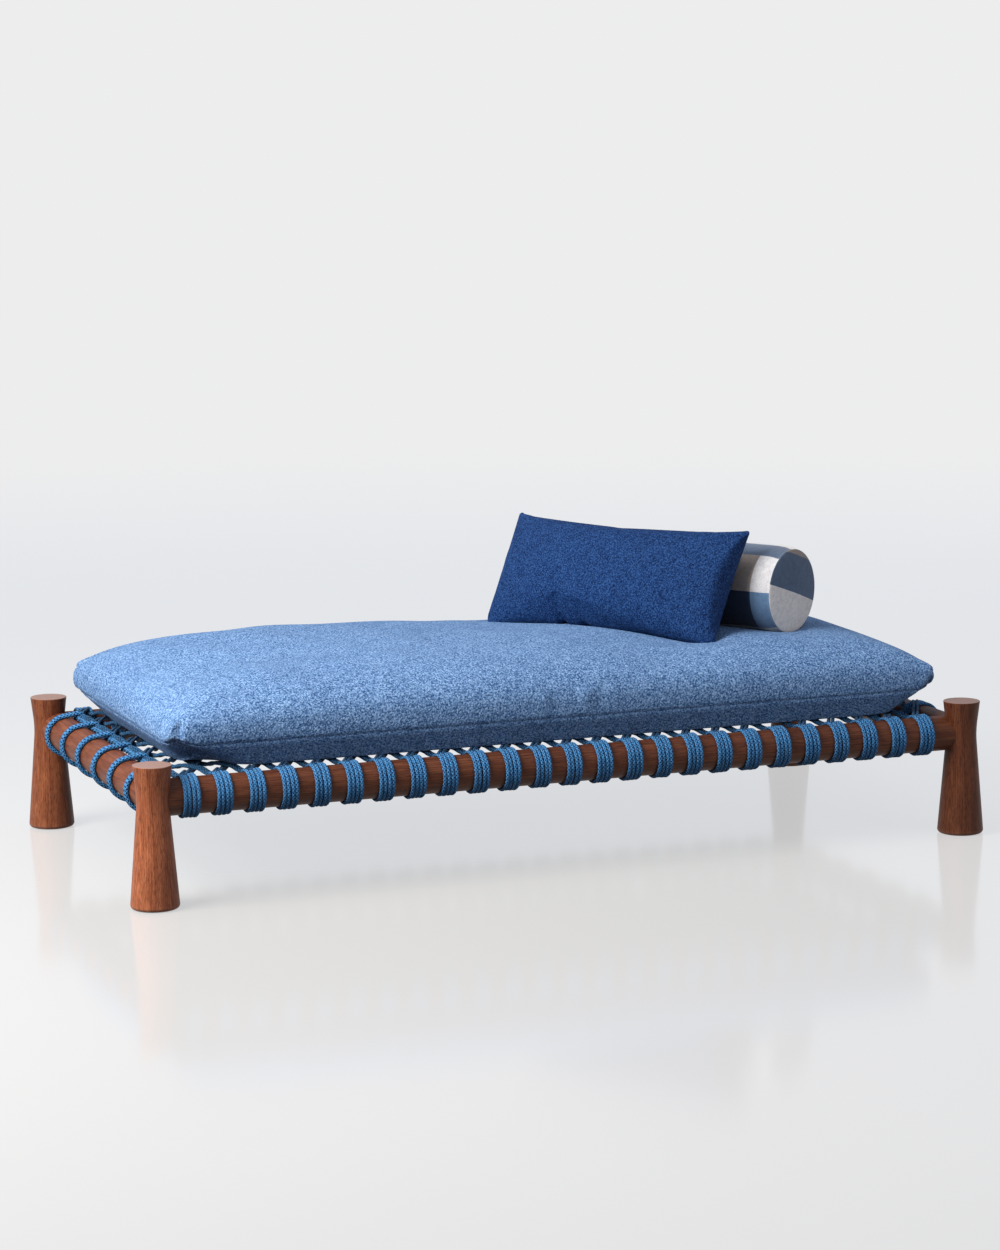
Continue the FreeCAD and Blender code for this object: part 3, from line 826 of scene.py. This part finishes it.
def foot_loops(material):
    """The pairs of strands that tie the end cord to the foot rail."""
    strands = Strands()
    rail = middle("rail_foot")
    cord = middle("rope_end_cord")
    rail_radius = size_of("rail_foot").x / 2
    cord_radius = size_of("rope_end_cord").x / 2
    extra = ROPE_GAP + LOOP_THICKNESS / 2
    path, outward = belt(rail, cord, rail_radius + extra, cord_radius + extra, RING_STEPS * 2)
    path, outward = even_steps(path, outward, RING_STEPS)
    turn = np.arange(RING_STEPS) * FULL_TURN / RING_STEPS
    for number, points in enumerate(solids("rope_loops_foot")):
        y = (points[:, 1].min() + points[:, 1].max()) / 2
        phase = offsets(1, LOOP_SEED + number // 2)[0]
        loop = path.copy()
        loop[:, 1] = y + LOOP_SLANT * np.sin(turn + phase)
        across = np.tile([0.0, 1.0, 0.0], (RING_STEPS, 1))
        strands.add(loop, across, outward, STRAND_WIDTH - LOOP_SLACK, LOOP_THICKNESS, RING_SIDES, True)
    return strands.make("foot_loops", "rope_loops_foot", material)


def end_cord(material):
    """Two strands twisted together along the foot rail."""
    low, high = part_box("rope_end_cord")
    centre = np.array((low + high) / 2)
    strand_radius = (high.x - low.x) / 4
    steps = round((high.y - low.y) / CORD_STEP)
    y = np.linspace(low.y, high.y, steps)
    strands = Strands()
    for start in (0, math.pi):
        turn = start + (y - low.y) * FULL_TURN / CORD_TWIST
        outward = np.stack([np.cos(turn), np.zeros(steps), np.sin(turn)], 1)
        path = strand_radius * outward
        path += np.stack([np.full(steps, centre[0]), y, np.full(steps, centre[2])], 1)
        across = np.cross(outward, directions(path))
        strands.add(path, across, outward, 2 * strand_radius, 2 * strand_radius, RING_SIDES, False)
    return strands.make("end_cord", "rope_end_cord", material)


# --- mattress ---
def rounded_plan(x, y, half_x, half_y, radius):
    """Move the points of a rectangle so that its corners are round. Also how near each is to a corner."""
    flat_x, flat_y = half_x - radius, half_y - radius
    near_x = np.clip((np.abs(x) - flat_x) / radius, 0, 1)
    near_y = np.clip((np.abs(y) - flat_y) / radius, 0, 1)
    new_x = np.where(near_x > 0, flat_x + radius * near_x * np.sqrt(1 - near_y ** 2 / 2), np.abs(x))
    new_y = np.where(near_y > 0, flat_y + radius * near_y * np.sqrt(1 - near_x ** 2 / 2), np.abs(y))
    return np.sign(x) * new_x, np.sign(y) * new_y, near_x * near_y


def mattress_top():
    """The mattress top as a grid of points, crowned from the seam up, and how full it is at each point."""
    low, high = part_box("mattress_cover")
    centre = (low + high) / 2
    centre.x += (MATTRESS_PROUD[1] - MATTRESS_PROUD[0]) / 2
    half_x = (high.x - low.x + MATTRESS_PROUD[0] + MATTRESS_PROUD[1]) / 2
    half_y = (high.y - low.y) / 2 + MATTRESS_PROUD[2]
    seam = low.z + SEAM_HEIGHT
    crown = high.z + MATTRESS_CROWN - seam
    s, t = (eased(share, amount) for share, amount in zip(cell_grid(MATTRESS_CELLS), MATTRESS_EASE))
    x, y, corner = rounded_plan(s * half_x, t * half_y, half_x, half_y, MATTRESS_CORNER)
    lifts = np.zeros(s.shape)
    for end, row in zip(((1 - s) / 2, (1 + s) / 2), CORNER_LIFTS):
        lifts += end * ((1 - t) / 2 * row[0] + (1 + t) / 2 * row[1])
    lifts *= corner
    full_s, full_t = (1 - np.abs(share) ** power for share, power in zip((s, t), CROWN_POWERS))
    full = (full_s * full_t) ** CROWN_ROUND * (1 - CORNER_FULLNESS)
    full += np.minimum(full_s, full_t) ** CROWN_ROUND * CORNER_FULLNESS
    z = seam + lifts + (crown - lifts) * full
    return np.stack([x + centre.x, y + centre.y, z], axis=-1), full


def border(cells_x, cells_y):
    """Grid places round the border, anticlockwise from above."""
    path = [(i, 0) for i in range(cells_x)]
    path += [(cells_x, j) for j in range(cells_y)]
    path += [(i, cells_y) for i in range(cells_x, 0, -1)]
    path += [(0, j) for j in range(cells_y, 0, -1)]
    return np.array(path)


def press(top, full, loads):
    """Dent the mattress top where loads lie in it, with a soft skirt round each dent."""
    depth = np.zeros(top.shape[:2])
    for load in loads:
        tree = surface_of(load)
        for place in np.ndindex(depth.shape):
            x, y, z = top[place]
            hit = tree.ray_cast(Vector((x, y, 0)), UP)[0]
            if hit is not None:
                depth[place] = max(depth[place], z - hit.z + DENT_GAP)
    dent = depth.copy()
    for _ in range(DENT_ROUNDS):
        spread = dent.copy()
        spread[1:-1, 1:-1] = (dent[:-2, 1:-1] + dent[2:, 1:-1] + dent[1:-1, :-2] + dent[1:-1, 2:]) / 4
        dent = np.maximum(depth, spread * DENT_SPREAD)
    top[..., 2] -= dent * np.minimum(1, full * DENT_FULLNESS)
    return top


def corner_nearness(points):
    """1 at the nearest corner of the mattress, and less away from it, for each point seen from above."""
    centre = np.array(middle("mattress_cover"))[:2]
    half = np.abs(points[..., :2] - centre).reshape(-1, 2).max(0)
    away = half - np.abs(points[..., :2] - centre)
    return np.exp(-(away ** 2).sum(-1) / CORNER_REACH ** 2)


def inset(points, amount):
    """Draw points of the mattress in towards its middle, more so at its corners and its foot end."""
    centre = np.array(middle("mattress_cover"))[:2]
    half = np.abs(points[:, :2] - centre).max(0)
    share = (points[:, :2] - centre) / half
    near = corner_nearness(points)[:, None]
    moved = points.copy()
    moved[:, :2] -= amount * (share + CORNER_INSET * near * np.sign(share))
    moved[:, :1] += amount * FOOT_INSET * (1 - share[:, :1])
    return moved


def pinch(top):
    """Draw the cover in just above the seam at each corner, where the filling stops short."""
    for end, side in ((0, 0), (0, -1), (-1, 0), (-1, -1)):
        inward = np.array([1 if end == 0 else -1, 1 if side == 0 else -1, 0]) / math.sqrt(2)
        level = np.array([-inward[1], inward[0], 0])
        away = top - top[end, side]
        across = away @ level
        rise = (away[..., 2] - PINCH_RISE) / PINCH_HEIGHT
        fold = np.exp(-((across - PINCH_PLACE) / PINCH_WIDTH) ** 2)
        fold -= PINCH_BULGE * np.exp(-((across + PINCH_PLACE) / PINCH_WIDTH) ** 2)
        above_seam = np.clip(away[..., 2] / PINCH_BLEND, 0, 1)
        top = top + (PINCH_DEPTH * fold * np.exp(-rise ** 2) * above_seam)[..., None] * inward
    return top


def mattress_swell(x, y):
    """How far the mattress top stands above its even crown: small waves and the broad swells."""
    swell = SLOW_WAVE * noise.noise(Vector((x * 3.4, y * 2.2, 0.3)))
    swell += QUICK_WAVE * noise.noise(Vector((x * 9.0 + y * 5.0, y * 4.0, 2.1)))
    for swell_x, swell_y, reach, height in SWELLS:
        swell += height * math.exp(-((x - swell_x) ** 2 + (y - swell_y) ** 2) / reach ** 2)
    return swell


def mattress(material, loads):
    """The mattress piece: its dented top, a band below the seam that tucks in, and its underside."""
    top, full = mattress_top()
    for place in np.ndindex(full.shape):
        top[place][2] += mattress_swell(top[place][0], top[place][1]) * full[place]
    top = pinch(press(top, full, loads))
    points = list(top.reshape(-1, 3))
    number = np.arange(len(points)).reshape(top.shape[:2])
    faces = quads_of(number).tolist()
    rim = border(*MATTRESS_CELLS)
    rim_points = top[rim[:, 0], rim[:, 1]]
    ring = number[rim[:, 0], rim[:, 1]]
    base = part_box("mattress_cover")[0].z - BASE_SINK
    climb = 1 - BAND_CORNER_RISE * corner_nearness(rim_points)
    pucker = PUCKER_DEPTH * np.sin(np.arange(len(rim)) * PUCKER_WAVES)[:, None]
    for drop, tuck in BAND_ROWS:
        row = inset(rim_points, tuck * MM + pucker)
        row[:, 2] += (base - row[:, 2]) * drop * climb
        lower = len(points) + np.arange(len(row))
        points += list(row)
        faces += ring_faces(ring, lower)
        ring = lower
    start = len(points)
    under = inset(top.reshape(-1, 3), MATTRESS_TUCK)
    under[:, 2] = base + BASE_CORNER_RISE * corner_nearness(top.reshape(-1, 3))
    points += list(under)
    faces += (quads_of(number)[:, [0, 3, 2, 1]] + start).tolist()
    faces += ring_faces(ring, start + number[rim[:, 0], rim[:, 1]])
    obj = new_piece("mattress", points, faces)
    subdivide(obj)
    obj.data.materials.append(material)
    return obj


# --- bolster ---
def bolster_axes():
    """The bolster's near end, its direction away from there, its length and its radius, from the CAD."""
    points = points_of(NODES["bolster_cover"])
    centre = points.mean(0)
    along = np.linalg.svd(points - centre, full_matrices=False)[2][0]
    along = along if along[1] > 0 else -along
    runs = (points - centre) @ along
    low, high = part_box("bolster_cover")
    centre = centre + along * (runs.min() + runs.max()) / 2
    centre[2] = (low.z + high.z) / 2
    return Vector(centre - along * np.ptp(runs) / 2), Vector(along), np.ptp(runs), (high.z - low.z) / 2


def bolster_profile(length, radius):
    """The bolster's outline as (place, radius) rows, and where the rows of its side start and end."""
    cap = []
    for k in range(1, CAP_ROWS + 1):
        share = k / CAP_ROWS
        cap.append((CAP_RIM - CAP_DOME * math.cos(share * CAP_CURVE), radius * share * CAP_SHARE))
    tube = []
    rows = round(length / BOLSTER_CELL)
    for k in range(rows + 1):
        run = k / rows
        edge = min(run, 1 - run) * length
        reach = radius * (1 - SEAM_DRAW * math.exp(-edge / SEAM_REACH))
        tube.append((TUBE_START + run * (length - 2 * TUBE_START), reach))
    far_cap = [(length - run, reach) for run, reach in reversed(cap)]
    return cap + tube + far_cap, len(cap), len(cap) + len(tube)


def cap_map(reach, turn):
    """The place of a point of an end on the map, which is turned by CAP_TILT."""
    return reach * math.cos(turn - CAP_TILT), reach * math.sin(turn - CAP_TILT)


def bolster(materials):
    """The bolster piece: a stuffed tube of patches with a seam round each end."""
    near, along, length, radius = bolster_axes()
    side = along.cross(UP).normalized()
    if side.y > 0:
        side = -side
    profile, side_start, side_end = bolster_profile(length, radius)
    turns = [FULL_TURN * k / BOLSTER_AROUND for k in range(BOLSTER_AROUND + 1)]
    points, faces, uv, tints = [], [], [], []
    for run, reach in profile:
        for turn in turns[:-1]:
            points.append(near + along * run + UP * math.cos(turn) * reach + side * math.sin(turn) * reach)
    for row in range(len(profile) - 1):
        run = (profile[row][0] + profile[row + 1][0]) / 2
        here, there = row * BOLSTER_AROUND, (row + 1) * BOLSTER_AROUND
        for k in range(BOLSTER_AROUND):
            after = (k + 1) % BOLSTER_AROUND
            faces.append([here + k, there + k, there + after, here + after])
            spots = ((row, k), (row + 1, k), (row + 1, k + 1), (row, k + 1))
            corners = [(*profile[r], turns[a]) for r, a in spots]
            if side_start - 1 <= row < side_end:
                tints.append(side_tint(360 * (k + 0.5) / BOLSTER_AROUND, run))
                uv += [(place, turn * radius) for place, _, turn in corners]
            else:
                tints.append("near_cap" if row < side_start else "far_cap")
                uv += [cap_map(reach, turn) for _, reach, turn in corners]
    last = (len(profile) - 1) * BOLSTER_AROUND
    faces.append(list(range(BOLSTER_AROUND)))
    faces.append([last + k for k in range(BOLSTER_AROUND)][::-1])
    tints += ["near_cap", "far_cap"]
    for ring in (turns[:-1], turns[-2::-1]):
        uv += [cap_map(profile[0][1], turn) for turn in ring]
    obj = new_piece("bolster", points, faces, uv)
    names = list(materials)
    for name in names:
        obj.data.materials.append(materials[name])
    obj.data.polygons.foreach_set("material_index", [names.index(tint) for tint in tints])
    inflate(obj, **BOLSTER_PUFF)
    subdivide(obj)
    return obj


def side_tint(degrees, run):
    """The patch on the bolster's side at an angle from its top and a distance from its near end."""
    sector = next(i for i, limit in enumerate(SIDE_SECTORS) if degrees <= limit)
    column = next(i for i, limit in enumerate(SIDE_COLUMNS) if run <= limit)
    return SIDE_COLOURS[sector][column]


# --- pillow ---
def pillow_turn():
    """The pillow's middle and its axes, from its CAD solid: along it, up its face, and out of its front."""
    points = points_of(NODES["pillow_filling"])
    centre = (points.max(0) + points.min(0)) / 2
    axes = np.linalg.svd(points - points.mean(0), full_matrices=False)[2]
    along = Vector(axes[0] if axes[0][1] < 0 else -axes[0])
    out = Vector(axes[2] if axes[2][0] < 0 else -axes[2])
    return Vector(centre), along, out.cross(along), out


def off_bolster(points):
    """Press points that would lie in the bolster out to its surface."""
    near, along, length, radius = bolster_axes()
    from_end = points - np.array(near)
    runs = from_end @ np.array(along)
    spoke = from_end - runs[:, None] * np.array(along)
    far = np.linalg.norm(spoke, axis=1)
    inside = (far < radius + TOUCH_GAP) & (runs > 0) & (runs < length)
    moved = points.copy()
    moved[inside] += (spoke / far[:, None] * (radius + TOUCH_GAP - far)[:, None])[inside]
    return moved


def pillow(material):
    """The pillow piece: two sheets sewn round their edge and stuffed, leaning on the bolster."""
    half_x, half_y = (size / 2 for size in PILLOW_SIZE)
    grid_s, grid_t = cell_grid(PILLOW_CELLS)
    s, t = eased(grid_s, PILLOW_EASE), eased(grid_t, PILLOW_EASE)
    radius = np.where(t < 0, *PILLOW_CORNERS)
    x, y, _ = rounded_plan(s * half_x, t * half_y, half_x, half_y, radius)
    x *= 1 - PILLOW_WAIST[0] * (1 - t ** 2)
    y *= 1 - PILLOW_WAIST[1] * (1 - s ** 2)
    for place, depth in PILLOW_CREASES:
        y += depth * np.exp(-((x - place) / CREASE_WIDTH) ** 2 - ((y + half_y) / CREASE_REACH) ** 2)
    full = (1 - np.abs(s) ** PILLOW_POWERS[0]) * (1 - np.abs(t) ** PILLOW_POWERS[1])
    puff = PILLOW_HALF * np.maximum(0, full) ** PILLOW_ROUND
    front = np.stack([x, y, puff], -1).reshape(-1, 3)
    number = np.arange(len(front)).reshape(s.shape)
    inner = (np.abs(grid_s) < 1) & (np.abs(grid_t) < 1)
    back_number = number.copy()
    back_number[inner] = len(front) + np.arange(inner.sum())
    points = np.concatenate([front, front[inner.ravel()] * np.array([1, 1, -1])])
    faces = np.stack([quads_of(number), quads_of(back_number)[:, ::-1]], axis=1).reshape(-1, 4)
    obj = new_piece("pillow", points, faces)
    inflate(obj, **PILLOW_PUFF)
    centre, along, up_face, out = pillow_turn()
    turn = np.array([along[:], up_face[:], out[:]])
    placed = points_of(obj) @ turn + np.array(centre + PILLOW_RISE * UP)
    set_points(obj, off_bolster(placed))
    subdivide(obj)
    obj.data.materials.append(material)
    return obj


# --- studio ---
def camera():
    """The camera, off the front left of the bed and a little above it, as in the photo."""
    data = bpy.data.cameras.new("camera")
    data.lens = CAMERA_LENS
    data.clip_end = 200
    obj = bpy.data.objects.new("camera", data)
    turn = Euler((math.radians(90 - CAMERA_PITCH), 0, -math.radians(CAMERA_YAW))).to_matrix()
    turn = turn @ Matrix.Rotation(math.radians(CAMERA_ROLL), 3, "Z")
    obj.matrix_world = Matrix.Translation(CAMERA_PLACE) @ turn.to_4x4()
    bpy.context.scene.collection.objects.link(obj)
    bpy.context.scene.camera = obj


def area_light(name, place, target, size, power, colour):
    """A soft square light aimed at a point. It doesn't show as a mirror image in the floor."""
    data = bpy.data.lights.new(name, "AREA")
    data.size = size
    data.energy = power
    data.color = colour
    obj = bpy.data.objects.new(name, data)
    obj.location = place
    obj.rotation_euler = (Vector(target) - Vector(place)).to_track_quat("-Z", "Y").to_euler()
    obj.visible_glossy = False
    bpy.context.scene.collection.objects.link(obj)


def studio():
    """Pale floor, even walls and soft light from the upper left."""
    world = bpy.data.worlds.new("studio")
    world.use_nodes = True
    tree = world.node_tree
    sky = NodeTree(tree)
    axes = sky.node("SeparateXYZ", {0: sky.node("TexCoord").outputs["Generated"]}).outputs
    height = sky.node("MapRange", {"Value": axes[2], "From Min": -1.0}).outputs[0]
    light = sky.ramp(height, [(place, tinted(SKY_TINT, amount)) for place, amount in SKY_STOPS])
    lighting = tree.nodes["Background"]
    sky.feed(lighting.inputs["Color"], light)
    seen = sky.node("Background", {"Color": (*WALL_COLOUR, 1)})
    to_camera = sky.node("LightPath").outputs["Is Camera Ray"]
    both = sky.blend(to_camera, lighting.outputs[0], seen.outputs[0])
    sky.feed(tree.nodes["World Output"].inputs["Surface"], both)
    bpy.context.scene.world = world
    bpy.context.scene.view_settings.view_transform = "Standard"
    bpy.ops.mesh.primitive_circle_add(vertices=128, radius=FLOOR_RADIUS, fill_type="NGON")
    floor = bpy.context.active_object
    floor.name = "floor"
    floor.data.materials.append(floor_material())
    floor.visible_diffuse = False
    for lamp in LAMPS:
        area_light(*lamp)


# --- assembly ---
def frame_pieces():
    """Materials of the wood and metal, and the rope that replaces the plain rope solids."""
    for node in NODES:
        if node in GRAIN_AND_PAINTED_LIGHT:
            # Each piece gets its own copy of the wood, lightened or darkened as painted light and shade.
            dress(node, wood_material("wood_" + node, middle(node), *GRAIN_AND_PAINTED_LIGHT[node]))
        elif node.startswith("glide_"):
            dress(node, plastic_material())
    dress("corner_bolts", steel_material())
    rope = rope_material("rope_blue", 1.0)
    # A darker copy of the rope for the web: painted shade, where the web lies in the mattress's shadow.
    shaded = rope_material("rope_web_painted_shade", 0.5)
    rail_bands("bands_front", "rope_bands_front", 0, rope)
    rail_bands("bands_back", "rope_bands_back", 0, rope)
    rail_bands("bands_head", "rope_bands_head", 1, rope)
    foot_loops(rope)
    end_cord(rope)
    places = sorted((band[:, 0].min() + band[:, 0].max()) / 2 for band in solids("rope_bands_front"))
    pitch = (places[-1] - places[0]) / (len(places) - 1)
    rail_y = -middle("rail_front").y
    web_layer("web_upper", "rope_web_upper", 1, shaded, rail_y, pitch)
    web_layer("web_lower", "rope_web_lower", -1, shaded, rail_y, pitch)


def soft_pieces():
    """The bolster, the pillow that leans on it, and the mattress that both lie on."""
    patches = {tint: patch_material(tint, [(0, tint)]) for tint in COLOURS}
    patches["near_cap"] = patch_material("near_cap", NEAR_CAP)
    patches["far_cap"] = patch_material("far_cap", FAR_CAP)
    denim = fabric_material("mattress_boucle", MATTRESS_TONES, MATTRESS_YARN, 1.0, 0.08)
    indigo = fabric_material("pillow_boucle", PILLOW_TONES, PILLOW_YARN, 0.8, 0.03)
    bolster_obj = bolster(patches)
    pillow_obj = pillow(indigo)
    mattress_obj = mattress(denim, [bolster_obj, pillow_obj])
    # Each piece, its body, and how tightly it is filled: 0 is slack and 1 is tight.
    rows = ((mattress_obj, "mattress", 0.7), (pillow_obj, "pillow", 0.7), (bolster_obj, "bolster", 0.9))
    for obj, body, fill in rows:
        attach(obj, body)
        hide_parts(body + "_cover", body + "_filling")


camera()
studio()
frame_pieces()
soft_pieces()
